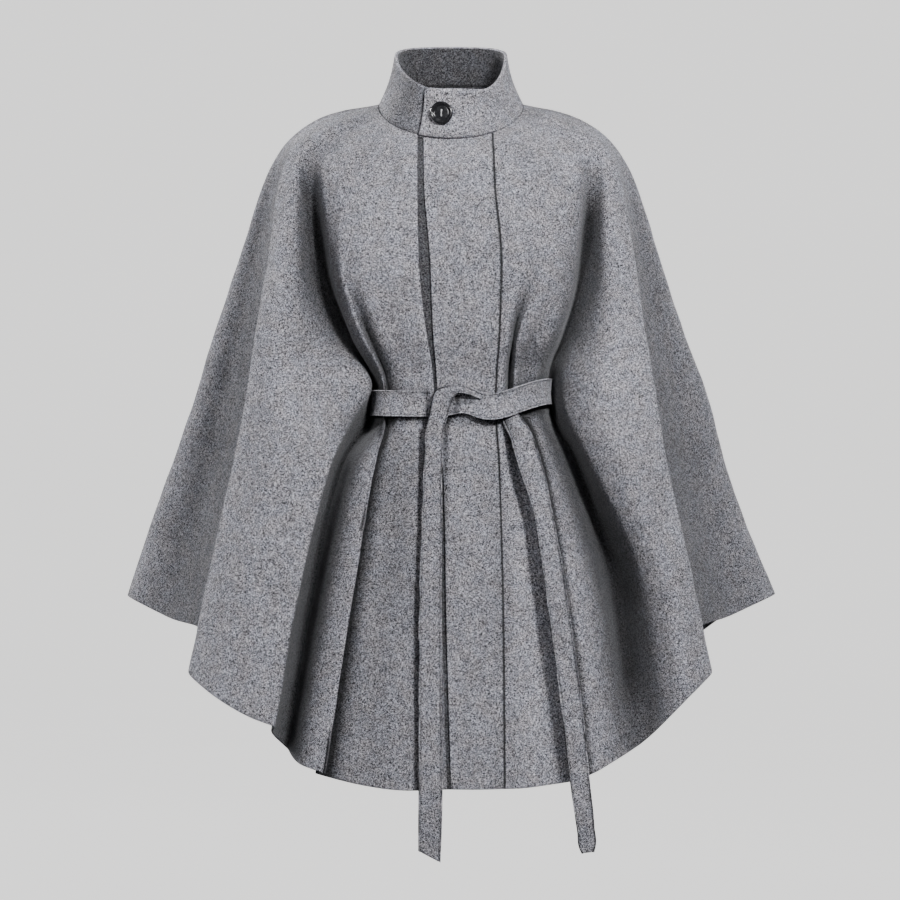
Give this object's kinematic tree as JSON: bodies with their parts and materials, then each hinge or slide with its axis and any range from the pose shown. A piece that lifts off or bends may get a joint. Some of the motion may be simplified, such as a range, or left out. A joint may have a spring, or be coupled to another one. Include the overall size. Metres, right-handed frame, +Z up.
{
  "type": "cape coat",
  "caption": "Belted wool cape coat with a stand collar, a placket front and draped cape sides, kept in its worn, hollow form.",
  "frame": {"origin": "middle of the neck at the level where the shoulders meet the collar, where the garment is held up", "axes": "+Z up along the worn coat, the front faces -Y, the wearer's left is +X"},
  "size_m": [0.8268, 0.3729, 1.0049],
  "materials": {
    "wool": "felted melton with a short soft nap",
    "button": "polished black"
  },
  "bodies": {
    "root": {"placket": "wool", "left_front": "wool", "back": "wool", "right_front": "wool", "under_placket": "wool", "collar": "wool", "belt": "wool", "belt_tail_right": "wool", "belt_tail_left": "wool", "belt_knot_strip": "wool", "button": "button"}
  },
  "joints": []
}
